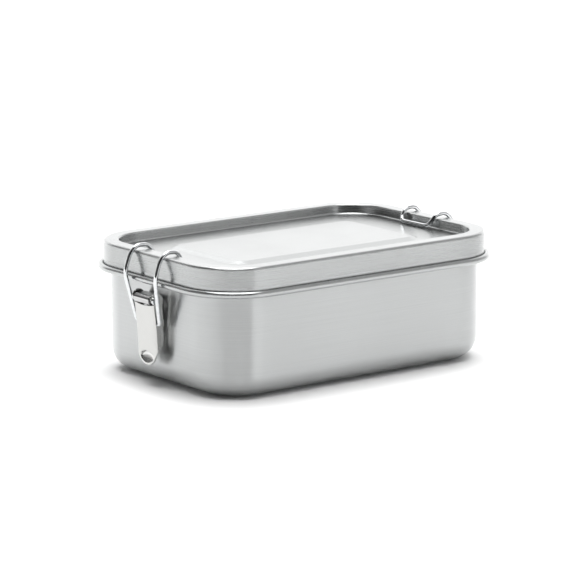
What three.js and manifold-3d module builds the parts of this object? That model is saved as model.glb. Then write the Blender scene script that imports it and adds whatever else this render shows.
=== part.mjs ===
// A stainless steel lunch box: a deep-drawn tub, a pressed lid with a silicone seal in its rim
// channel, and an over-centre wire latch on each short end.
// Millimetres, +Z up, X along the box, origin at the centre of the tub's underside.
import * as THREE from 'three';
import { mergeVertices } from 'three/addons/utils/BufferGeometryUtils.js';
import Module from 'manifold-3d';

const wasm = await Module();
wasm.setup();

// ---- driving dimensions ----
const LID = { a: 85, b: 57.1, r: 27.3 };       // outside of the lid's skirt: half length, half width, corner
const TUB = { a: 81.5, b: 53.6, r: 23.8 };     // outside of the tub's wall
const PLATEAU = { a: 56, b: 30, r: 9 };        // raised panel in the lid
const SHEET = 0.5;                             // steel sheet of tub and lid
const HEIGHT = 62.8;                           // underside of the tub to the lid's rim
const TUB_FILLET = 11.5;
const TUB_CURL = { z: 57.0, r: 1.3 };          // the tub's outward-rolled edge
const LID_CURL = { z: 50.4, r: 1.6 };          // the lid's outward-rolled edge
const CURL_END = THREE.MathUtils.degToRad(303);
const RIM_WIDTH = 7.5;                         // flat band round the lid
const RECESS_FLOOR = 58.0;
const PLATEAU_TOP = 59.3;
const PLATEAU_BEVEL = 3.6;
const RIM_FILLET = 1.5;
const SEAL = { inner: 1.2, outer: 6.4, bottom: 58.65, top: 61.95 };  // distances from the rim's inner edge
const CORNER_STEPS = 9;                        // vertices round each quarter corner

const PIVOT = { u: 87.7, z: 42.0 };            // fixed hinge of the lever, u = distance out from centre
const HOOK = { u: 85.8, z: 30.7 };             // where the bail turns in the lever's ears
const WIRE_R = 1.0;
const PIN_R = 1.2;
const RUN_CLEARANCE = 0.25;
const LEVER = { half: 7.65, sheet: 0.6, bottom: 10.7 };
const FACE_TOP = 39.4;                         // where the lever's face ends under the barrel
const DIMPLE = { u: 88.4, z: 14.4, size: [3.1, 5.9, 3.3] };   // finger dimple, pressed in from the front
const BARREL_R = 2.3;
const BRACKET = { half: 5.9, sheet: 0.8, back: 81.85, bottom: 34.0 };
const RIVET_HEAD = { r: 1.75, thick: 0.55 };

// ---- materials ----
const steel = (color, roughness) => new THREE.MeshStandardMaterial({ color, roughness, metalness: 1 });
const BRUSHED = steel(0xc8cacb, 0.32);
const POLISHED = steel(0xdcdedf, 0.12);
const PLATED = steel(0xd2d4d6, 0.25);
const SILICONE = new THREE.MeshStandardMaterial({ color: 0xe6e6e2, roughness: 0.6, metalness: 0 });

// ---- outlines in the (a, z) half section ----
const arcPoints = (ca, cz, r, from, to, steps) => {
  const out = [];
  for (let i = 0; i <= steps; i++) {
    const t = from + (to - from) * i / steps;
    out.push([ca + r * Math.cos(t), cz + r * Math.sin(t)]);
  }
  return out;
};

/** Rounds each inner corner of an open path; corners is [a, z, radius, steps]. */
function filletPath(corners) {
  const out = [corners[0].slice(0, 2)];
  for (let i = 1; i < corners.length - 1; i++) {
    const [a, z, r, steps = 4] = corners[i];
    const here = new THREE.Vector2(a, z);
    const back = new THREE.Vector2(...corners[i - 1]).sub(here).normalize();
    const ahead = new THREE.Vector2(...corners[i + 1]).sub(here).normalize();
    if (!r) {
      out.push([a, z]);
      continue;
    }
    const half = Math.acos(THREE.MathUtils.clamp(back.dot(ahead), -1, 1)) / 2;
    const centre = back.clone().add(ahead).normalize().multiplyScalar(r / Math.sin(half)).add(here);
    const start = back.clone().multiplyScalar(r / Math.tan(half)).add(here).sub(centre);
    const end = ahead.clone().multiplyScalar(r / Math.tan(half)).add(here).sub(centre);
    const turn = Math.atan2(start.cross(end), start.dot(end));
    const from = start.angle();
    out.push(...arcPoints(centre.x, centre.y, r, from, from + turn, steps));
  }
  out.push(corners.at(-1).slice(0, 2));
  return out;
}

/** The path moved by a distance to its left, with mitred joints. */
function offsetPath(path, distance) {
  return path.map((point, i) => {
    const before = path[Math.max(i - 1, 0)];
    const after = path[Math.min(i + 1, path.length - 1)];
    const inDir = new THREE.Vector2(point[0] - before[0], point[1] - before[1]);
    const outDir = new THREE.Vector2(after[0] - point[0], after[1] - point[1]);
    if (inDir.lengthSq() === 0) inDir.copy(outDir);
    if (outDir.lengthSq() === 0) outDir.copy(inDir);
    const nIn = new THREE.Vector2(-inDir.y, inDir.x).normalize();
    const nOut = new THREE.Vector2(-outDir.y, outDir.x).normalize();
    const mitre = nIn.clone().add(nOut).normalize();
    const length = distance / Math.max(mitre.dot(nIn), 0.5);
    return [point[0] + mitre.x * length, point[1] + mitre.y * length];
  });
}

// ---- rings: the rounded rectangle that a half section's point is swept round ----
const lerp = THREE.MathUtils.lerp;
const offsetRing = (base, a) => ({ b: base.b + a - base.a, r: base.r + a - base.a });

/** Rings that follow one rounded rectangle out to its centre; the middle shrinks evenly. */
function ringsAround(base) {
  return (a) => {
    const core = base.a - base.r + 2;
    if (a >= core) return offsetRing(base, a);
    const edge = offsetRing(base, core);
    return { b: edge.b * a / core, r: edge.r * a / core };
  };
}

/** Rings of the lid: its own outline outside, the plateau's inside, blended on the flat between. */
function lidRings(a) {
  const wall = LID.a - RIM_WIDTH - 1.2;
  const plateauEdge = PLATEAU.a + 1;
  if (a >= wall) return offsetRing(LID, a);
  if (a <= plateauEdge) return ringsAround(PLATEAU)(a);
  const t = (a - plateauEdge) / (wall - plateauEdge);
  const inner = offsetRing(PLATEAU, plateauEdge);
  const outer = offsetRing(LID, wall);
  return { b: lerp(inner.b, outer.b, t), r: lerp(inner.r, outer.r, t) };
}

/** Sweeps a closed half section (from axis to axis, or a loop) round the box's outline. */
function sweepRing(section, rings) {
  const count = section.length;
  const segments = 4 * CORNER_STEPS;
  const points = section.map(([a, z]) => new THREE.Vector2(a, z));
  const geometry = new THREE.LatheGeometry(points, segments, 0, Math.PI * 2);
  geometry.rotateX(Math.PI / 2);
  const position = geometry.attributes.position;
  for (let i = 0; i < position.count; i++) {
    const column = Math.floor(i / count) % segments;
    const a = section[i % count][0];
    const { b, r } = rings(a);
    const quarter = Math.floor(column / CORNER_STEPS);
    const within = (column % CORNER_STEPS) / (CORNER_STEPS - 1);
    // LatheGeometry starts on -Y here once it is turned upright, and runs towards +X
    const angle = -Math.PI / 2 + (quarter + within) * Math.PI / 2;
    const sx = quarter < 2 ? 1 : -1;
    const sy = quarter === 1 || quarter === 2 ? 1 : -1;
    const x = sx * (a - r) + r * Math.cos(angle);
    const y = sy * (b - r) + r * Math.sin(angle);
    position.setXY(i, a < 1e-9 ? 0 : x, a < 1e-9 ? 0 : y);
  }
  return welded(geometry);
}

// ---- closed meshes and booleans ----
/** Only positions, shared vertices merged and flat triangles dropped. */
function welded(geometry) {
  const bare = geometry.clone();
  bare.deleteAttribute('normal');
  bare.deleteAttribute('uv');
  const merged = mergeVertices(bare, 1e-4);
  const index = merged.index.array;
  const kept = [];
  for (let i = 0; i < index.length; i += 3) {
    const [p, q, s] = [index[i], index[i + 1], index[i + 2]];
    if (p !== q && q !== s && s !== p) kept.push(p, q, s);
  }
  merged.setIndex(kept);
  return merged;
}

function toSolid(geometry) {
  const mesh = welded(geometry);
  return new wasm.Manifold(new wasm.Mesh({
    numProp: 3,
    vertProperties: new Float32Array(mesh.attributes.position.array),
    triVerts: new Uint32Array(mesh.index.array),
  }));
}

function fromSolid(solid) {
  const mesh = solid.getMesh();
  const geometry = new THREE.BufferGeometry();
  geometry.setAttribute('position', new THREE.BufferAttribute(new Float32Array(mesh.vertProperties), 3));
  geometry.setIndex(Array.from(mesh.triVerts));
  return geometry;
}

/** A flat outline in the (u, z) plane, extruded along Y between two distances. */
function plateAlongY(points, fromY, toY) {
  const shape = new THREE.Shape(points.map(([u, z]) => new THREE.Vector2(u, z)));
  const geometry = new THREE.ExtrudeGeometry(shape, { depth: toY - fromY, bevelEnabled: false });
  geometry.rotateX(Math.PI / 2);
  geometry.translate(0, toY, 0);
  return geometry;
}

function rodAlongY(u, z, radius, fromY, toY, sides) {
  const geometry = new THREE.CylinderGeometry(radius, radius, toY - fromY, sides);
  geometry.translate(u, (fromY + toY) / 2, z);
  return geometry;
}

function named(name, geometry, material) {
  const mesh = new THREE.Mesh(geometry, material);
  mesh.name = name;
  geometry.computeVertexNormals();
  return mesh;
}

// ---- tub ----
function tub() {
  const outer = filletPath([[0, 0], [TUB.a, 0, TUB_FILLET, 8], [TUB.a, TUB_CURL.z]]);
  const inside = TUB_CURL.r - SHEET;
  const curl = arcPoints(TUB.a + inside, TUB_CURL.z, inside, Math.PI, Math.PI - CURL_END, 14);
  const path = [...outer.slice(0, -1), ...curl];
  const section = [...path, ...offsetPath(path, SHEET).reverse()];
  section[section.length - 1][0] = 0;
  return named('tub', sweepRing(section, ringsAround(TUB)), BRUSHED);
}

// ---- lid ----
function lid() {
  const rimInner = LID.a - RIM_WIDTH;
  const top = filletPath([
    [0, PLATEAU_TOP],
    [PLATEAU.a - PLATEAU_BEVEL, PLATEAU_TOP, 2, 2],
    [PLATEAU.a, RECESS_FLOOR, 2, 2],
    [rimInner - 0.25, RECESS_FLOOR, 1.0, 3],
    [rimInner, HEIGHT, 1.0, 3],
    [LID.a, HEIGHT, RIM_FILLET, 5],
    [LID.a, LID_CURL.z],
  ]);
  const inside = LID_CURL.r - SHEET;
  const curl = arcPoints(LID.a + inside, LID_CURL.z, inside, Math.PI, Math.PI + CURL_END, 14);
  const path = [...top.slice(0, -1), ...curl];
  const section = [...offsetPath(path, -SHEET), ...path.reverse()];
  section[0][0] = 0;
  return named('lid', sweepRing(section, lidRings), BRUSHED);
}

function seal() {
  const inner = LID.a - RIM_WIDTH + SEAL.inner;
  const outer = LID.a - RIM_WIDTH + SEAL.outer;
  const groove = arcPoints(TUB.a + 0.3, SEAL.bottom, 1.4, 0, Math.PI, 4)
    .map(([a, z]) => [a, lerp(SEAL.bottom, z, 0.25)]);
  const section = [
    [inner, SEAL.bottom + 0.6], [inner + 0.6, SEAL.bottom], ...groove.reverse(), [outer - 0.6, SEAL.bottom],
    [outer, SEAL.bottom + 0.6], [outer, SEAL.top - 1.1], [outer - 1.1, SEAL.top], [inner + 0.8, SEAL.top],
    [inner, SEAL.top - 0.8], [inner, SEAL.bottom + 0.6],
  ];
  return named('lid_seal', sweepRing(section, (a) => offsetRing(LID, a)), SILICONE);
}

// ---- latch, drawn on the +X end with u = x ----
/** Wall plate spot-welded to the tub, its top rolled into the barrel that holds the pin. */
function bracket() {
  const barrelTop = PIVOT.z + BARREL_R;
  const spine = filletPath([
    [BRACKET.back + BRACKET.sheet, BRACKET.bottom],
    [BRACKET.back + BRACKET.sheet, barrelTop - BRACKET.sheet, 1.0, 4],
    [PIVOT.u, barrelTop - BRACKET.sheet],
  ]);
  const plate = [...spine, ...offsetPath(spine, BRACKET.sheet).reverse()];
  const body = toSolid(plateAlongY(plate, -BRACKET.half, BRACKET.half));
  const barrel = toSolid(rodAlongY(PIVOT.u, PIVOT.z, BARREL_R, -BRACKET.half, BRACKET.half, 20));
  const bore = toSolid(rodAlongY(PIVOT.u, PIVOT.z, PIN_R + RUN_CLEARANCE, -20, 20, 20));
  return fromSolid(body.add(barrel).subtract(bore));
}

/** Rivet-headed pin through the lever's ears and the bracket's barrel. */
function pivotPin() {
  const end = LEVER.half + 0.35;
  const shaft = toSolid(rodAlongY(PIVOT.u, PIVOT.z, PIN_R, -end, end, 16));
  const tip = end + RIVET_HEAD.thick;
  const nearHead = toSolid(rodAlongY(PIVOT.u, PIVOT.z, RIVET_HEAD.r, -tip, -end, 16));
  const farHead = toSolid(rodAlongY(PIVOT.u, PIVOT.z, RIVET_HEAD.r, end, tip, 16));
  return fromSolid(shaft.add(nearHead).add(farHead));
}

/** Outer line of the lever's face in the side view, from its cut-away top to its lower tip. */
const FACE_LINE = [
  [88.75, 46], [88.65, FACE_TOP], [87.75, 31], [86.95, 20], [86.75, 13.5], [86.9, LEVER.bottom - 0.2],
];

/** Side outline shared by both ears: two lobes round the pivots, then a flange that tapers out. */
function earOutline() {
  const lobe = (centre, r, from, to) => arcPoints(
    centre[0], centre[1], r, THREE.MathUtils.degToRad(from), THREE.MathUtils.degToRad(to), 8);
  return [
    ...FACE_LINE.slice(1, 4).reverse().map(([u, z]) => [u - 0.05, z]),
    ...lobe([86.2, 42.0], 3.5, 30, 215),
    ...lobe([85.9, 31.0], 3.7, 150, 222),
    [82.6, 26.5], [82.7, 21.5], [84.2, 18.6],
  ];
}

function lever() {
  const half = LEVER.half;
  const side = plateAlongY(earOutline(), -half, half);
  const inner = half - LEVER.sheet;
  const channel = toSolid(plateAlongY([[70, 0], [70, 60], [100, 60], [100, 0]], -inner, inner));
  const ears = toSolid(side).subtract(channel);
  const facePlate = toSolid(plateAlongY(
    [...FACE_LINE, ...offsetPath(FACE_LINE, -LEVER.sheet).reverse()], -half, half));
  const face = facePlate.intersect(toSolid(faceOutline()));
  const bore = toSolid(rodAlongY(PIVOT.u, PIVOT.z, PIN_R + RUN_CLEARANCE, -20, 20, 16));
  const eye = toSolid(rodAlongY(HOOK.u, HOOK.z, WIRE_R + RUN_CLEARANCE, -20, 20, 16));
  const bump = new THREE.SphereGeometry(1, 20, 10);
  bump.scale(...DIMPLE.size);
  const hollow = bump.clone().translate(DIMPLE.u, 0, DIMPLE.z);
  const back = bump.translate(DIMPLE.u - LEVER.sheet, 0, DIMPLE.z);
  const boss = toSolid(back).intersect(toSolid(faceOutline())).intersect(behindFace());
  return fromSolid(ears.subtract(bore).subtract(eye).add(face).add(boss).subtract(toSolid(hollow)));
}

/** Everything inboard of the lever's outer face. */
function behindFace() {
  return toSolid(plateAlongY([...FACE_LINE, [70, LEVER.bottom - 0.2], [70, 46]], -20, 20));
}

/** Front view of the lever's face: dished top edge under the barrel, round lower tip. */
function faceOutline() {
  const half = LEVER.half;
  const shape = new THREE.Shape();
  shape.moveTo(-half, FACE_TOP + 0.6);
  shape.quadraticCurveTo(0, FACE_TOP - 1.2, half, FACE_TOP + 0.6);
  shape.lineTo(half, 19);
  shape.bezierCurveTo(half, 14, 4.6, LEVER.bottom, 0, LEVER.bottom);
  shape.bezierCurveTo(-4.6, LEVER.bottom, -half, 14, -half, 19);
  const geometry = new THREE.ExtrudeGeometry(shape, { depth: 20, bevelEnabled: false, curveSegments: 8 });
  // shape x runs along Y, shape y runs up Z, depth runs along X
  geometry.rotateX(Math.PI / 2);
  geometry.rotateZ(Math.PI / 2);
  geometry.translate(75, 0, 0);
  return geometry;
}

/** Half of the bail's wire from its end in an ear to the crossbar: u, y, z and how far each bend reaches. */
const BAIL_ROUTE = [
  [HOOK.u, 5.9, HOOK.z, 0], [HOOK.u, 9.3, HOOK.z, 1.5], [90.3, 12.3, 52.6, 3.0], [87.3, 12.1, 61.6, 2.6],
  [83.6, 12.0, 64.9, 2.0], [77.6, 11.8, 64.8, 2.4], [73.5, 10.5, 59.25, 3.2],
];

/** One bent wire: its ends sit in the lever's ears and its crossbar hooks in the lid's recess. */
function bail() {
  const whole = [...BAIL_ROUTE, ...BAIL_ROUTE.map(([u, y, z, r]) => [u, -y, z, r]).reverse()];
  const path = new THREE.CurvePath();
  let last = new THREE.Vector3(...whole[0].slice(0, 3));
  for (let i = 1; i < whole.length - 1; i++) {
    const here = new THREE.Vector3(...whole[i].slice(0, 3));
    const before = new THREE.Vector3(...whole[i - 1].slice(0, 3)).sub(here);
    const after = new THREE.Vector3(...whole[i + 1].slice(0, 3)).sub(here);
    const cut = Math.min(whole[i][3], before.length() * 0.48, after.length() * 0.48);
    const start = here.clone().add(before.setLength(cut));
    const end = here.clone().add(after.setLength(cut));
    path.add(new THREE.LineCurve3(last, start));
    path.add(new THREE.QuadraticBezierCurve3(start, here, end));
    last = end;
  }
  path.add(new THREE.LineCurve3(last, new THREE.Vector3(...whole.at(-1).slice(0, 3))));
  const section = new THREE.Shape();
  section.absarc(0, 0, WIRE_R, 0, Math.PI * 2);
  return new THREE.ExtrudeGeometry(section, { steps: 120, curveSegments: 4, extrudePath: path });
}

/** The four pieces of one latch, on the +X end or turned half round to the -X end. */
function latch(side) {
  const pieces = [
    [`bracket_${side}`, bracket(), BRUSHED],
    [`pivot_pin_${side}`, pivotPin(), POLISHED],
    [`lever_${side}`, lever(), PLATED],
    [`bail_${side}`, welded(bail()), POLISHED],
  ];
  const group = new THREE.Group();
  pieces.forEach(([name, geometry, material]) => group.add(named(name, geometry, material)));
  group.rotation.z = side === 'left' ? Math.PI : 0;
  return group;
}

const lunchBox = new THREE.Group();
lunchBox.add(tub(), lid(), seal(), latch('left'), latch('right'));

export default lunchBox;
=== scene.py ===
"""The looks of a stainless steel lunch box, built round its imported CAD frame.

Lengths are millimetres in the frame's own axes, except in the last section, which is in metres.
"""
import math

import bmesh
import bpy
from mathutils import Matrix, Vector


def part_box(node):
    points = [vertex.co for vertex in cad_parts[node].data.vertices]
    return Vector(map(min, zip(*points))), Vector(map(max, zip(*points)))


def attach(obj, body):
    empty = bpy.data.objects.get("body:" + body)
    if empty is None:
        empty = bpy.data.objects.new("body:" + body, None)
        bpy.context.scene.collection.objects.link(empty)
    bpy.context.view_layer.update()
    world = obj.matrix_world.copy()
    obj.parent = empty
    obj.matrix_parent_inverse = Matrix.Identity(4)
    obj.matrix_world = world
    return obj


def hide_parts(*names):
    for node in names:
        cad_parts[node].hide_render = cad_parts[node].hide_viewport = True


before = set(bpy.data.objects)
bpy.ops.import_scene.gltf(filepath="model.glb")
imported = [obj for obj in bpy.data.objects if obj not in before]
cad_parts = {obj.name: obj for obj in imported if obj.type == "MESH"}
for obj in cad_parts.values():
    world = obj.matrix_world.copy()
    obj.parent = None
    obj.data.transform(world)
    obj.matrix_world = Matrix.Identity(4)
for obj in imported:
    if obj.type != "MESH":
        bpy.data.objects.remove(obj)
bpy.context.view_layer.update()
MM = 0.001
TINY = 1e-9                   # shorter than this counts as nothing
WELD = 1e-7                   # vertices closer than this are joined, in metres


def box_mm(node):
    """A node's lowest and highest corners in millimetres."""
    low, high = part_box(node)
    return [v / MM for v in low], [v / MM for v in high]


# ---- sizes: the outlines come from the frame, the details are the part's own ----
LID_CURL_R = 1.6
TUB_CURL_R = 1.3
SHEET = 0.5
LID_CURL_OUT = 2 * LID_CURL_R - SHEET
TUB_CURL_OUT = 2 * TUB_CURL_R - SHEET
LID_HIGH = box_mm("lid")[1]
LID_LOW = box_mm("lid")[0]
TUB_HIGH = box_mm("tub")[1]
# outlines as half length, half width, corner radius
LID = (LID_HIGH[0] - LID_CURL_OUT, LID_HIGH[1] - LID_CURL_OUT, 27.3)
TUB = (TUB_HIGH[0] - TUB_CURL_OUT, TUB_HIGH[1] - TUB_CURL_OUT, 23.8)
PLATEAU = (56.0, 30.0, 9.0)
HEIGHT = LID_HIGH[2]
TUB_FILLET = 11.5
TUB_CURL_Z = TUB_HIGH[2] - TUB_CURL_R
LID_CURL_Z = LID_LOW[2] + LID_CURL_R
CURL_SWEEP = math.radians(303)       # how far round the tub's and the lid's edges are rolled
RIM_WIDTH = 7.5
RECESS_FLOOR = 58.0
PLATEAU_TOP = 59.3
PLATEAU_BEVEL = 3.6
PLATEAU_BEND = 2.5            # radius of the bends at both ends of the plateau's bevel
RECESS_BEND = 1.0             # radius of the bends at both ends of the recess wall
RECESS_LEAN = 0.25            # how far the recess wall leans out towards the rim
RIM_FILLET = 1.5
SEAL_WIDTH = 5.2
SEAL_FOOT = 0.6               # chamfer on both of the seal's lower edges
SEAL_INNER = 0.8              # chamfer on its upper inner edge
SEAL_OUTER = 1.1              # chamfer on its upper outer edge
SEAL_GROOVE = 1.4             # half width of the groove for the tub's edge
SEAL_GROOVE_FLAT = 0.25       # the groove's depth as a share of its half width
SEAL_GROOVE_SHIFT = 0.3       # the groove's middle lies this far out from the tub's wall

PIVOT = (87.7, 42.0)          # the lever's fixed hinge: distance out from the centre, height
HOOK = (85.8, 30.7)           # where the bail turns in the lever's ears
WIRE_R = 1.0
PIN_R = 1.2
CLEARANCE = 0.25
LEVER_HALF = 7.65
LEVER_SHEET = 0.6
LEVER_BOTTOM = 10.7
LEVER_BEND = 1.1              # radius of the bend between the face and an ear
LEVER_TAPER = 8.0             # height over which the lever's lower end rounds off
LEVER_TIP = 2.3               # exponent of that rounding: 2 is an ellipse, more is squarer
FACE_TOP = 39.4
FACE_DIP = 0.3                # the face's top edge is this far below FACE_TOP in the middle
FACE_DISH = 0.9               # and rises by this much towards the ears
DIMPLE = (14.4, 5.0, 2.8, 2.1)   # height, half width, half height, depth
DIMPLE_LEAN = 0.46            # share of the depth by which its floor slants, deepest at the top
DIMPLE_WALL = 0.15            # exponent of its rim: the smaller, the steeper
BARREL_R = 2.3
BRACKET_HALF = 5.9
BRACKET_SHEET = 0.8
BRACKET_BACK = 81.85
BRACKET_BOTTOM = 34.0
BARREL_ROLL = math.radians(305)      # the sheet goes this far round the pin
PIN_HEAD_R = 1.75
PIN_HEAD = 0.55               # thickness of the pin's domed heads
PIN_HEAD_RIM = 0.35           # share of that thickness below the dome
PIN_REACH = 0.35              # how far the shaft stands out past the ears
# half of the bail, as distance out, distance from the middle, height, and length of each bend's legs
BAIL_ROUTE = [
    (HOOK[0], 5.9, HOOK[1], 0), (HOOK[0], 9.3, HOOK[1], 1.5), (90.3, 12.3, 52.6, 3.0),
    (87.3, 12.1, 61.6, 2.6), (83.6, 12.0, 64.9, 2.0), (77.6, 11.8, 64.8, 2.4), (73.5, 10.5, 59.25, 3.2),
]


# ---- outlines ----
def arc(centre, radius, start, end, steps):
    """Points on a circle in the (a, z) plane, angles in radians."""
    turns = [start + (end - start) * i / steps for i in range(steps + 1)]
    return [(centre[0] + radius * math.cos(t), centre[1] + radius * math.sin(t)) for t in turns]


def fillet(corners):
    """An open path whose inner corners, given as (a, z, radius), are rounded."""
    out = [corners[0][:2]]
    for before, corner, after in zip(corners, corners[1:], corners[2:]):
        here = Vector(corner[:2])
        back = (Vector(before[:2]) - here).normalized()
        ahead = (Vector(after[:2]) - here).normalized()
        half = back.angle(ahead) / 2
        centre = here + (back + ahead).normalized() * corner[2] / math.sin(half)
        start = here + back * corner[2] / math.tan(half) - centre
        end = here + ahead * corner[2] / math.tan(half) - centre
        turn = math.atan2(start.x * end.y - start.y * end.x, start.dot(end))
        first = math.atan2(start.y, start.x)
        steps = max(3, round(abs(turn) / math.radians(9)))
        out += arc(centre, corner[2], first, first + turn, steps)
    out.append(corners[-1][:2])
    return out


def offset(path, distance):
    """The path moved to its left, with mitred joints."""
    moved = []
    for i, point in enumerate(path):
        here = Vector(point)
        before = here - Vector(path[max(i - 1, 0)])
        after = Vector(path[min(i + 1, len(path) - 1)]) - here
        if before.length < TINY:
            before = after
        if after.length < TINY:
            after = before
        n_in = Vector((-before.y, before.x)).normalized()
        n_out = Vector((-after.y, after.x)).normalized()
        mitre = (n_in + n_out).normalized()
        moved.append(tuple(here + mitre * distance / max(mitre.dot(n_in), 0.5)))
    return moved


# ---- rings: the rounded rectangle that a section point is swept round ----
def offset_ring(base, a):
    return base[1] + a - base[0], base[2] + a - base[0]


def rings_around(base):
    """Rings parallel to one outline, which shrink evenly once they reach its corner centres."""
    def ring(a):
        core = base[0] - base[2] + 2.0      # from this ring inward its corners shrink with it
        if a >= core:
            return offset_ring(base, a)
        b, r = offset_ring(base, core)
        return b * a / core, r * a / core
    return ring


def lid_ring(a):
    """The lid's own outline outside, the plateau's inside, and a blend on the flat between."""
    wall = LID[0] - RIM_WIDTH - 1.2
    edge = PLATEAU[0] + 1
    if a >= wall:
        return offset_ring(LID, a)
    if a <= edge:
        return rings_around(PLATEAU)(a)
    t = (a - edge) / (wall - edge)
    inner = offset_ring(PLATEAU, edge)
    outer = offset_ring(LID, wall)
    return inner[0] + (outer[0] - inner[0]) * t, inner[1] + (outer[1] - inner[1]) * t


# ---- meshes ----
def points(verts):
    """Vertices turned from millimetres into metres."""
    return [tuple(c * MM for c in v) for v in verts]


def piece(name, verts, faces, material, body, nodes):
    """A mesh object that rides on a body, in place of the CAD nodes that it shows finer."""
    mesh = bpy.data.meshes.new(name)
    mesh.from_pydata(points(verts), [], faces)
    obj = bpy.data.objects.new(name, mesh)
    bpy.context.scene.collection.objects.link(obj)
    tidy_mesh(mesh)
    return dress(obj, material, body, nodes)


def tidy_mesh(mesh):
    """Welds doubles, drops flat faces and turns all faces outward."""
    bm = bmesh.new()
    bm.from_mesh(mesh)
    bmesh.ops.remove_doubles(bm, verts=bm.verts, dist=WELD)
    bmesh.ops.dissolve_degenerate(bm, edges=bm.edges, dist=WELD)
    bmesh.ops.recalc_face_normals(bm, faces=bm.faces)
    bm.to_mesh(mesh)
    bm.free()
    mesh.shade_smooth()


def dress(obj, material, body, nodes):
    """Gives a piece its material and shading, and ties it to the frame."""
    obj.data.materials.clear()
    obj.data.materials.append(material)
    normals = obj.modifiers.new("even_shading", "WEIGHTED_NORMAL")
    normals.keep_sharp = True
    normals.weight = 80
    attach(obj, body)
    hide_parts(*nodes)
    return obj


def swept(section, rings, corner_steps=28):
    """Vertices and faces of a closed half section swept round the box's outline."""
    columns = []
    for quarter, (sx, sy) in enumerate(((1, 1), (-1, 1), (-1, -1), (1, -1))):
        for k in range(corner_steps + 1):
            columns.append(((quarter + k / corner_steps) * math.pi / 2, sx, sy))
    verts = []
    for angle, sx, sy in columns:
        for a, z in section:
            b, r = rings(a)
            x = sx * (a - r) + r * math.cos(angle) if a > TINY else 0
            y = sy * (b - r) + r * math.sin(angle) if a > TINY else 0
            verts.append((x, y, z))
    n = len(section)
    closed = section[0][0] > TINY
    faces = []
    for c in range(len(columns)):
        d = (c + 1) % len(columns)
        for j in range(n if closed else n - 1):
            k = (j + 1) % n
            faces.append((c * n + j, d * n + j, d * n + k, c * n + k))
    return verts, faces


def ring_faces(rings, sides):
    """Quads between neighbouring rings of vertices."""
    faces = []
    for i in range(rings - 1):
        for k in range(sides):
            m = (k + 1) % sides
            faces.append((i * sides + k, i * sides + m, (i + 1) * sides + m, (i + 1) * sides + k))
    return faces


def tube(route, radius, sides=20):
    """A round wire along a route, with flat ends."""
    route = [Vector(p) for p in route]
    verts = []
    side = Vector((0, 0, 1))
    for i, here in enumerate(route):
        ahead = (route[min(i + 1, len(route) - 1)] - route[max(i - 1, 0)]).normalized()
        side = (side - ahead * side.dot(ahead)).normalized()
        other = ahead.cross(side)
        for k in range(sides):
            t = 2 * math.pi * k / sides
            verts.append(tuple(here + side * radius * math.cos(t) + other * radius * math.sin(t)))
    ends = [tuple(range(sides)), tuple(range(len(verts) - sides, len(verts)))]
    return verts, ends + ring_faces(len(route), sides)


def rounded_route(corners, steps=10):
    """Straight runs joined by smooth bends; corners are (x, y, z, length of the bend's legs)."""
    out = [Vector(corners[0][:3])]
    for before, corner, after in zip(corners, corners[1:], corners[2:]):
        here = Vector(corner[:3])
        back = Vector(before[:3]) - here
        ahead = Vector(after[:3]) - here
        cut = min(corner[3], back.length * 0.48, ahead.length * 0.48)
        start = here + back.normalized() * cut
        end = here + ahead.normalized() * cut
        for i in range(steps + 1):
            t = i / steps
            out.append(start * (1 - t) ** 2 + here * 2 * t * (1 - t) + end * t * t)
    out.append(Vector(corners[-1][:3]))
    return out


def plate_mesh(outline, holes, half_thickness, edge=0.08):
    """A flat plate in the (u, z) plane with round holes and softened edges, centred on y = 0."""
    curve = bpy.data.curves.new("plate", "CURVE")
    curve.dimensions = "2D"
    curve.fill_mode = "BOTH"
    curve.extrude = (half_thickness - edge) * MM
    curve.bevel_depth = edge * MM
    curve.bevel_resolution = 2
    curve.offset = -edge * MM
    rings = [outline] + [arc(centre, radius, 0, 2 * math.pi, 40)[:-1] for centre, radius in holes]
    for ring in rings:
        spline = curve.splines.new("POLY")
        spline.points.add(len(ring) - 1)
        for point, (u, z) in zip(spline.points, ring):
            point.co = (u * MM, z * MM, 0, 1)
        spline.use_cyclic_u = True
    obj = bpy.data.objects.new("plate", curve)
    bpy.context.scene.collection.objects.link(obj)
    mesh = bpy.data.meshes.new_from_object(obj.evaluated_get(bpy.context.evaluated_depsgraph_get()))
    bpy.data.objects.remove(obj)
    mesh.transform(Matrix.Rotation(math.pi / 2, 4, "X"))
    return mesh


def joined(name, meshes):
    """One object from several meshes, each with its own transform."""
    bm = bmesh.new()
    for mesh, matrix in meshes:
        mesh.transform(matrix)
        bm.from_mesh(mesh)
    bmesh.ops.remove_doubles(bm, verts=bm.verts, dist=WELD)
    bmesh.ops.recalc_face_normals(bm, faces=bm.faces)
    whole = bpy.data.meshes.new(name)
    bm.to_mesh(whole)
    bm.free()
    for polygon in whole.polygons:
        polygon.use_smooth = True
    whole.set_sharp_from_angle(angle=math.radians(40))
    obj = bpy.data.objects.new(name, whole)
    bpy.context.scene.collection.objects.link(obj)
    return obj


# ---- materials ----
# noise cells per metre along X, Y and Z: few along a mark, many across it
ROUND_LINES = (22, 22, 9000)
FLAT_LINES = (22, 7000, 500)
WIRE_MARKS = (900, 900, 900)
LEVER_LINES = (9000, 9000, 60)
BRACKET_LINES = (900, 60, 900)
BEAD_TOP = 53.3               # the lid is smooth below this height and brushed above it
NO_BEAD = -1.0                # the tub's walls are brushed all the way down


def new_material(name):
    material = bpy.data.materials.new(name)
    material.use_nodes = True
    nodes = material.node_tree.nodes
    return material, nodes, material.node_tree.links, nodes["Principled BSDF"]


def noise(nodes, links, vector, scale, detail=2.0):
    node = nodes.new("ShaderNodeTexNoise")
    node.inputs["Scale"].default_value = scale
    node.inputs["Detail"].default_value = detail
    links.new(vector, node.inputs["Vector"])
    return node.outputs["Fac"]


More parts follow.
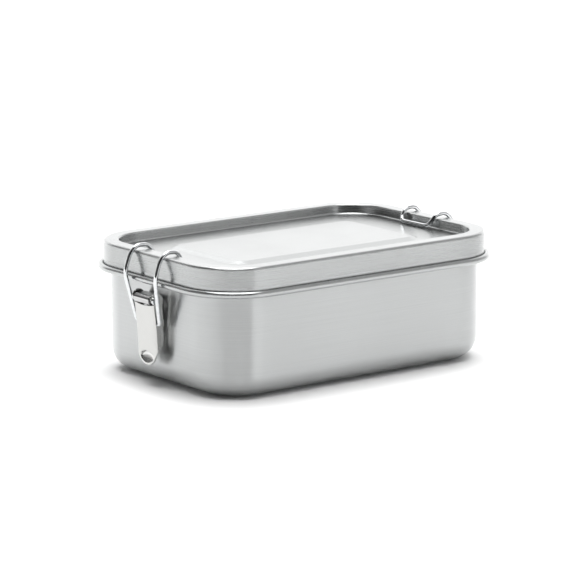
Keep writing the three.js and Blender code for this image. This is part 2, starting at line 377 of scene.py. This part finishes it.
def stretched(nodes, links, scale):
    """Object coordinates scaled unevenly, so that noise on them becomes brush lines."""
    coords = nodes.new("ShaderNodeTexCoord")
    mapping = nodes.new("ShaderNodeMapping")
    mapping.inputs["Scale"].default_value = scale
    links.new(coords.outputs["Object"], mapping.inputs["Vector"])
    return mapping.outputs["Vector"]


def ramp(nodes, links, value, low, high, from_min=0.3, from_max=0.7):
    node = nodes.new("ShaderNodeMapRange")
    node.inputs["From Min"].default_value = from_min
    node.inputs["From Max"].default_value = from_max
    node.inputs["To Min"].default_value = low
    node.inputs["To Max"].default_value = high
    links.new(value, node.inputs["Value"])
    return node.outputs["Result"]


def mixed(nodes, links, factor, a, b):
    node = nodes.new("ShaderNodeMix")
    links.new(factor, node.inputs[0])
    links.new(a, node.inputs[2])
    links.new(b, node.inputs[3])
    return node.outputs[0]


def grey_ramp(nodes, links, value, dark, light):
    node = nodes.new("ShaderNodeMix")
    node.data_type = "RGBA"
    node.inputs[6].default_value = (*dark, 1)
    node.inputs[7].default_value = (*light, 1)
    links.new(value, node.inputs[0])
    return node.outputs[2]


def combined(nodes, links, operation, a, b):
    node = nodes.new("ShaderNodeMath")
    node.operation = operation
    links.new(a, node.inputs[0])
    links.new(b, node.inputs[1])
    return node.outputs[0]


def brush_direction(nodes, links, upright):
    """Round the box on upright walls, along the box on flats."""
    around = nodes.new("ShaderNodeTangent")
    around.direction_type = "RADIAL"
    around.axis = "Z"
    blend = nodes.new("ShaderNodeMix")
    blend.data_type = "VECTOR"
    blend.inputs[4].default_value = (1, 0, 0)
    links.new(upright, blend.inputs[0])
    links.new(around.outputs["Tangent"], blend.inputs[5])
    return blend.outputs[1]


def upright_share(nodes, links):
    """1 on upright walls, 0 on flats."""
    geometry = nodes.new("ShaderNodeNewGeometry")
    facing = nodes.new("ShaderNodeSeparateXYZ")
    links.new(geometry.outputs["True Normal"], facing.inputs["Vector"])
    upward = nodes.new("ShaderNodeMath")
    upward.operation = "ABSOLUTE"
    links.new(facing.outputs["Z"], upward.inputs[0])
    return ramp(nodes, links, upward.outputs[0], 1.0, 0.0, 0.6, 0.9)


def above_share(nodes, links, height):
    """1 above a height in millimetres, 0 below it, with a soft step of 0.6 mm."""
    place = nodes.new("ShaderNodeSeparateXYZ")
    links.new(stretched(nodes, links, (1, 1, 1)), place.inputs["Vector"])
    return ramp(nodes, links, place.outputs["Z"], 0.0, 1.0, (height - 0.3) * MM, (height + 0.3) * MM)


def fine_bump(nodes, links, shader, height, strength):
    bump = nodes.new("ShaderNodeBump")
    bump.inputs["Strength"].default_value = strength
    bump.inputs["Distance"].default_value = 0.02 * MM
    links.new(height, bump.inputs["Height"])
    links.new(bump.outputs["Normal"], shader.inputs["Normal"])


def brushed_steel(name, dark, light, rough, smooth, line_strength, bead_top):
    """Steel brushed round its walls, smoother on its flats and on the rolled edge below bead_top."""
    material, nodes, links, shader = new_material(name)
    around = noise(nodes, links, stretched(nodes, links, ROUND_LINES), 1.0, 4.0)
    along = noise(nodes, links, stretched(nodes, links, FLAT_LINES), 1.0, 4.0)
    upright = upright_share(nodes, links)
    wall = combined(nodes, links, "MULTIPLY", upright, above_share(nodes, links, bead_top))
    lines = mixed(nodes, links, upright, along, around)
    links.new(grey_ramp(nodes, links, ramp(nodes, links, lines, 0.0, 1.0), dark, light),
              shader.inputs["Base Color"])
    cloud = noise(nodes, links, stretched(nodes, links, (1, 1, 1)), 28.0, 3.0)
    streaks = ramp(nodes, links, lines, -0.03, 0.03)
    patches = ramp(nodes, links, cloud, -0.015, 0.015)
    grain = combined(nodes, links, "ADD", streaks, patches)
    finish = ramp(nodes, links, wall, smooth, rough, 0.0, 1.0)
    links.new(combined(nodes, links, "ADD", finish, grain), shader.inputs["Roughness"])
    fine_bump(nodes, links, shader, lines, line_strength)
    links.new(brush_direction(nodes, links, upright), shader.inputs["Tangent"])
    shader.inputs["Anisotropic"].default_value = 0.95
    shader.inputs["Anisotropic Rotation"].default_value = 0.25
    shader.inputs["Metallic"].default_value = 1.0
    return material


def polished_steel(name, dark, light, roughness, scale):
    """Bright wire or satin sheet with faint draw marks and handling marks."""
    material, nodes, links, shader = new_material(name)
    marks = noise(nodes, links, stretched(nodes, links, scale), 1.0, 5.0)
    links.new(grey_ramp(nodes, links, ramp(nodes, links, marks, 0.0, 1.0), dark, light),
              shader.inputs["Base Color"])
    links.new(ramp(nodes, links, marks, roughness * 0.7, roughness * 1.3), shader.inputs["Roughness"])
    fine_bump(nodes, links, shader, marks, 0.1)
    shader.inputs["Metallic"].default_value = 1.0
    return material


def silicone():
    material, nodes, links, shader = new_material("silicone")
    cloud = noise(nodes, links, stretched(nodes, links, (1, 1, 1)), 400.0, 3.0)
    links.new(grey_ramp(nodes, links, cloud, (0.72, 0.72, 0.69), (0.82, 0.82, 0.79)),
              shader.inputs["Base Color"])
    links.new(ramp(nodes, links, cloud, 0.45, 0.6), shader.inputs["Roughness"])
    shader.inputs["Subsurface Weight"].default_value = 0.15
    shader.inputs["Subsurface Radius"].default_value = (0.002, 0.002, 0.002)
    return material


TUB_STEEL = brushed_steel(
    "tub_steel", (0.45, 0.46, 0.46), (0.51, 0.52, 0.52),
    rough=0.33, smooth=0.25, line_strength=0.12, bead_top=NO_BEAD)
LID_STEEL = brushed_steel(
    "lid_steel", (0.385, 0.393, 0.393), (0.43, 0.438, 0.438),
    rough=0.28, smooth=0.22, line_strength=0.03, bead_top=BEAD_TOP)
WIRE_STEEL = polished_steel("wire_steel", (0.56, 0.57, 0.58), (0.68, 0.69, 0.70), 0.06, WIRE_MARKS)
LEVER_STEEL = polished_steel("lever_steel", (0.47, 0.47, 0.46), (0.53, 0.53, 0.52), 0.22, LEVER_LINES)
BRACKET_STEEL = polished_steel("bracket_steel", (0.40, 0.40, 0.40), (0.50, 0.50, 0.50), 0.08, BRACKET_LINES)
SILICONE = silicone()


# ---- tub, lid and seal ----
def make_tub():
    inside = TUB_CURL_R - SHEET
    wall = fillet([(0, 0), (TUB[0], 0, TUB_FILLET), (TUB[0], TUB_CURL_Z)])
    curl = arc((TUB[0] + inside, TUB_CURL_Z), inside, math.pi, math.pi - CURL_SWEEP, 36)
    path = wall[:-1] + curl
    inner = offset(path, SHEET)
    inner[0] = (0, SHEET)
    verts, faces = swept(path + inner[::-1], rings_around(TUB))
    piece("tub_shell", verts, faces, TUB_STEEL, "tub", ["tub"])


def make_lid():
    inner_edge = LID[0] - RIM_WIDTH
    top = fillet([
        (0, PLATEAU_TOP),
        (PLATEAU[0] - PLATEAU_BEVEL, PLATEAU_TOP, PLATEAU_BEND),
        (PLATEAU[0], RECESS_FLOOR, PLATEAU_BEND),
        (inner_edge - RECESS_LEAN, RECESS_FLOOR, RECESS_BEND),
        (inner_edge, HEIGHT, RECESS_BEND),
        (LID[0], HEIGHT, RIM_FILLET),
        (LID[0], LID_CURL_Z),
    ])
    inside = LID_CURL_R - SHEET
    curl = arc((LID[0] + inside, LID_CURL_Z), inside, math.pi, math.pi + CURL_SWEEP, 36)
    path = top[:-1] + curl
    under = offset(path, -SHEET)
    under[0] = (0, PLATEAU_TOP - SHEET)
    verts, faces = swept(path + under[::-1], lid_ring)
    piece("lid_shell", verts, faces, LID_STEEL, "lid", ["lid"])


def make_seal():
    """A silicone band that fills the rim channel, with a groove that sits on the tub's edge."""
    low, high = box_mm("lid_seal")
    outer, bottom, top = high[0], low[2], high[2]
    inner = outer - SEAL_WIDTH
    hump = arc((TUB[0] + SEAL_GROOVE_SHIFT, bottom), SEAL_GROOVE, math.pi, 0, 12)
    groove = [(a, bottom + (z - bottom) * SEAL_GROOVE_FLAT) for a, z in hump]
    section = [(inner, bottom + SEAL_FOOT), (inner + SEAL_FOOT, bottom)] + groove + [
        (outer - SEAL_FOOT, bottom), (outer, bottom + SEAL_FOOT), (outer, top - SEAL_OUTER),
        (outer - SEAL_OUTER, top), (inner + SEAL_INNER, top), (inner, top - SEAL_INNER)]
    verts, faces = swept(section, lambda a: offset_ring(LID, a))
    piece("seal_ring", verts, faces, SILICONE, "lid", ["lid_seal"])


# ---- latch, made on the +X end and turned half round for the left one ----
FACE_LINE = [(88.65, FACE_TOP + 0.6), (87.75, 31), (86.95, 20), (86.75, 13.5), (86.9, LEVER_BOTTOM - 0.2)]


def face_u(z):
    """How far out the lever's face is at a height."""
    for (u1, z1), (u0, z0) in zip(FACE_LINE, FACE_LINE[1:]):
        if z >= z0:
            return u0 + (u1 - u0) * (z - z0) / (z1 - z0)
    return FACE_LINE[-1][0]


def face_span(y):
    """The lever face's lowest and highest point at a distance from its middle line."""
    t = min(abs(y) / LEVER_HALF, 1.0)
    bottom = LEVER_BOTTOM + LEVER_TAPER * (1 - math.sqrt(max(0.0, 1 - t ** LEVER_TIP)))
    return bottom, FACE_TOP - FACE_DIP + FACE_DISH * t * t


def dimple_depth(y, z):
    """How deep the finger dimple is pressed in at a place on the lever's face."""
    height, half_wide, half_high, depth = DIMPLE
    up = (z - height) / half_high
    reach = (y / half_wide) ** 2 + up ** 2
    if reach >= 1:
        return 0
    return depth * (1 - DIMPLE_LEAN + DIMPLE_LEAN * up) * (1 - reach) ** DIMPLE_WALL


def face_columns():
    """Set-back and distance from the middle line, from one ear round its bend to the other's."""
    flat_half = LEVER_HALF - LEVER_BEND
    turns = [math.pi / 2 * i / 8 for i in range(9)]
    bend = [(-LEVER_BEND - 0.5, -LEVER_HALF)]
    bend += [(-LEVER_BEND + LEVER_BEND * math.sin(t), -flat_half - LEVER_BEND * math.cos(t)) for t in turns]
    flat = [(0, -flat_half + 2 * flat_half * i / 40) for i in range(1, 40)]
    return bend + flat + [(back, -y) for back, y in reversed(bend)]


def lever_face():
    """The lever's outer sheet: a face with a pressed finger dimple, bent back at both sides."""
    across = face_columns()
    rows = 90
    verts = []
    for back, y in across:
        low, high = face_span(y)
        for j in range(rows + 1):
            z = low + (high - low) * j / rows
            verts.append(((face_u(z) + back - dimple_depth(y, z)) * MM, y * MM, z * MM))
    n = rows + 1
    faces = [(c * n + j, (c + 1) * n + j, (c + 1) * n + j + 1, c * n + j + 1)
             for c in range(len(across) - 1) for j in range(rows)]
    mesh = bpy.data.meshes.new("lever_face")
    mesh.from_pydata(verts, [], faces)
    obj = bpy.data.objects.new("lever_face", mesh)
    bpy.context.scene.collection.objects.link(obj)
    thick = obj.modifiers.new("sheet", "SOLIDIFY")
    thick.thickness = LEVER_SHEET * MM
    thick.offset = 1 if mesh.polygons[len(mesh.polygons) // 2].normal.x < 0 else -1
    thick.use_even_offset = True
    solid = bpy.data.meshes.new_from_object(obj.evaluated_get(bpy.context.evaluated_depsgraph_get()))
    bpy.data.objects.remove(obj)
    return solid


def ear_outline():
    """Side view of an ear: two lobes round its pivots and a flange that tapers out below."""
    def lobe(centre, radius, start, end):
        return arc(centre, radius, math.radians(start), math.radians(end), 28)
    front = [(face_u(z) - LEVER_BEND - 0.1, z) for z in (20.5, 25, 31, FACE_TOP)]
    return front + lobe((86.2, 42.0), 3.5, 10, 215) + lobe((85.9, 31.0), 3.7, 150, 222) + [
        (82.6, 26.5), (82.7, 21.5), (84.2, 19.2)]


def make_lever(side, turn):
    holes = [(PIVOT, PIN_R + CLEARANCE), (HOOK, WIRE_R + CLEARANCE)]
    parts = [(lever_face(), turn)]
    for sign in (1, -1):
        middle = sign * (LEVER_HALF - LEVER_SHEET / 2 - 0.02) * MM
        ear = plate_mesh(ear_outline(), holes, LEVER_SHEET / 2)
        parts.append((ear, turn @ Matrix.Translation((0, middle, 0))))
    obj = joined(f"latch_lever_{side}", parts)
    dress(obj, LEVER_STEEL, f"lever_{side}", [f"lever_{side}"])


def make_bracket(side, turn):
    """Wall plate whose top is rolled into the barrel round the pin."""
    top = PIVOT[1] + BARREL_R
    inner_r = BARREL_R - BRACKET_SHEET
    front = BRACKET_BACK + BRACKET_SHEET
    shoulder = top - BRACKET_SHEET
    spine = fillet([(front, BRACKET_BOTTOM), (front, shoulder, 1.0), (PIVOT[0], shoulder)])
    roll = arc(PIVOT, inner_r, math.pi / 2, math.pi / 2 - BARREL_ROLL, 40)
    path = spine[:-1] + roll
    outline = path + offset(path, BRACKET_SHEET)[::-1]
    obj = joined(f"wall_bracket_{side}", [(plate_mesh(outline, [], BRACKET_HALF, 0.1), turn)])
    dress(obj, BRACKET_STEEL, "tub", [f"bracket_{side}"])


def head_dome(end):
    """Radius and distance along the pin, from the edge of a domed head to its middle."""
    dome = []
    for i in range(9):
        t = math.pi / 2 * i / 8
        rise = PIN_HEAD_RIM + (1 - PIN_HEAD_RIM) * math.sin(t)
        dome.append((PIN_HEAD_R * math.cos(t), end + PIN_HEAD * rise))
    return dome


def make_pin(side, turn):
    """Shaft with a domed rivet head at each end."""
    end = LEVER_HALF + PIN_REACH
    half = [(PIN_R, 0), (PIN_R, end), (PIN_HEAD_R, end)] + head_dome(end)
    profile = [(r, -y) for r, y in reversed(half)] + half[1:]
    sides = 32
    turns = [2 * math.pi * k / sides for k in range(sides)]
    verts = [(PIVOT[0] + r * math.cos(t), y, PIVOT[1] + r * math.sin(t)) for r, y in profile for t in turns]
    faces = ring_faces(len(profile), sides)
    obj = piece(f"hinge_pin_{side}", verts, faces, WIRE_STEEL, "tub", [f"pivot_pin_{side}"])
    obj.data.transform(turn)


def make_bail(side, turn):
    """One wire: both ends turn in the lever's ears, and its crossbar lies in the lid's recess."""
    whole = BAIL_ROUTE + [(u, -y, z, cut) for u, y, z, cut in reversed(BAIL_ROUTE)]
    verts, faces = tube(rounded_route(whole), WIRE_R)
    node = f"bail_{side}"
    obj = piece(f"wire_bail_{side}", verts, faces, WIRE_STEEL, node, [node])
    obj.data.transform(turn)


def make_latch(side, degrees):
    turn = Matrix.Rotation(math.radians(degrees), 4, "Z")
    make_bracket(side, turn)
    make_pin(side, turn)
    make_lever(side, turn)
    make_bail(side, turn)


make_tub()
make_lid()
make_seal()
make_latch("right", 0)
make_latch("left", 180)


# ---- floor, light and camera: lengths here are metres, angles degrees ----
FLOOR_HALF = 30.0
BACKDROP = 1.0                # brightness of the world as the camera sees it
CEILING = 7.5                 # brightness of the light overhead
CEILING_EDGE = (0.89, 0.97)   # it fades in between these heights of a unit direction
WALL_TOP = (0.05, 0.13)       # the low band of the walls gives way to the high one between these
# brightness of the studio's walls, by compass angle anticlockwise from +X
LOW_WALLS = [
    (-180, 2.2), (-163, 1.4), (-146, 0.02), (-89, 0.02), (-87, 3.2), (-58, 2.9), (-48, 1.1), (-28, 0.6),
    (-20, 0.3), (0, 0.3), (15, 1.8), (85, 1.8), (105, 2.8), (150, 2.8), (180, 2.2),
]
HIGH_WALLS = [
    (-180, 0.12), (-160, 0.08), (-140, 0.02), (-89, 0.02), (-87, 0.6), (-20, 0.6), (5, 0.8),
    (25, 1.8), (92, 1.8), (110, 0.3), (125, 0.17), (150, 0.2), (180, 0.12),
]
CAMERA_AZIMUTH = -37.26
CAMERA_ELEVATION = 11.79
CAMERA_ROLL = -0.14
CAMERA_DISTANCE = 1.4919
CAMERA_LENS = 192.8           # millimetres, on a sensor 36 mm wide
CAMERA_SHIFT = (-0.0096, 0.0125)


def make_floor():
    mesh = bpy.data.meshes.new("floor")
    corners = [(x * FLOOR_HALF, y * FLOOR_HALF, 0) for x, y in ((-1, -1), (1, -1), (1, 1), (-1, 1))]
    mesh.from_pydata(corners, [], [(0, 1, 2, 3)])
    floor = bpy.data.objects.new("floor", mesh)
    bpy.context.scene.collection.objects.link(floor)
    material, _, _, shader = new_material("pale_floor")
    shader.inputs["Base Color"].default_value = (0.93, 0.93, 0.93, 1)
    shader.inputs["Roughness"].default_value = 0.9
    shader.inputs["Specular IOR Level"].default_value = 0.1
    mesh.materials.append(material)


def by_compass(nodes, links, turn, stops):
    """Brightness looked up by compass angle; turn goes from 0 to 1 as the angle goes from -180 to 180."""
    brightest = max(value for _, value in stops)
    lookup = nodes.new("ShaderNodeValToRGB")
    links.new(turn, lookup.inputs["Fac"])
    elements = lookup.color_ramp.elements
    for degrees, _ in stops[1:-1]:
        elements.new((degrees + 180) / 360)
    for element, (_, value) in zip(elements, stops):
        element.color = (value / brightest,) * 3 + (1,)
    scale = nodes.new("ShaderNodeMath")
    scale.operation = "MULTIPLY"
    scale.inputs[1].default_value = brightest
    links.new(lookup.outputs["Color"], scale.inputs[0])
    return scale.outputs[0]


def compass_turn(nodes, links, direction):
    """0 to 1 round the horizon, starting from the -X side."""
    compass = nodes.new("ShaderNodeMath")
    compass.operation = "ARCTAN2"
    links.new(direction.outputs["Y"], compass.inputs[0])
    links.new(direction.outputs["X"], compass.inputs[1])
    return ramp(nodes, links, compass.outputs[0], 0.0, 1.0, -math.pi, math.pi)


def make_world():
    """Light overhead and walls that differ all round, with a dark gap; the camera sees white."""
    world = bpy.data.worlds.new("studio")
    bpy.context.scene.world = world
    world.use_nodes = True
    nodes, links = world.node_tree.nodes, world.node_tree.links
    coords = nodes.new("ShaderNodeTexCoord")
    direction = nodes.new("ShaderNodeSeparateXYZ")
    links.new(coords.outputs["Generated"], direction.inputs["Vector"])
    turn = compass_turn(nodes, links, direction)
    height = direction.outputs["Z"]
    low = by_compass(nodes, links, turn, LOW_WALLS)
    high = by_compass(nodes, links, turn, HIGH_WALLS)
    walls = mixed(nodes, links, ramp(nodes, links, height, 0.0, 1.0, *WALL_TOP), low, high)
    overhead = ramp(nodes, links, height, 0.0, CEILING, *CEILING_EDGE)
    backdrop = nodes.new("ShaderNodeMix")
    backdrop.inputs[3].default_value = BACKDROP
    links.new(nodes.new("ShaderNodeLightPath").outputs["Is Camera Ray"], backdrop.inputs[0])
    links.new(combined(nodes, links, "ADD", walls, overhead), backdrop.inputs[2])
    links.new(backdrop.outputs[0], nodes["Background"].inputs["Strength"])
    nodes["Background"].inputs["Color"].default_value = (1, 1, 1, 1)


def camera_axes():
    """The camera's right, up and backward directions."""
    azimuth = math.radians(CAMERA_AZIMUTH)
    elevation = math.radians(CAMERA_ELEVATION)
    roll = math.radians(CAMERA_ROLL)
    level = math.cos(elevation)
    back = Vector((math.sin(azimuth) * level, -math.cos(azimuth) * level, math.sin(elevation)))
    across = Vector((math.cos(azimuth), math.sin(azimuth), 0))
    above = back.cross(across)
    right = across * math.cos(roll) + above * math.sin(roll)
    up = above * math.cos(roll) - across * math.sin(roll)
    return right, up, back


def make_camera():
    """Looks at the box's middle from its left latch and long front side, from slightly above."""
    data = bpy.data.cameras.new("camera")
    data.lens = CAMERA_LENS
    data.sensor_width = 36
    data.shift_x, data.shift_y = CAMERA_SHIFT
    camera = bpy.data.objects.new("camera", data)
    right, up, back = camera_axes()
    place = Vector((0, 0, HEIGHT * MM / 2)) + back * CAMERA_DISTANCE
    camera.matrix_world = Matrix.Translation(place) @ Matrix((right, up, back)).transposed().to_4x4()
    bpy.context.scene.collection.objects.link(camera)
    bpy.context.scene.camera = camera


make_floor()
make_world()
make_camera()
bpy.context.scene.view_settings.view_transform = "Standard"
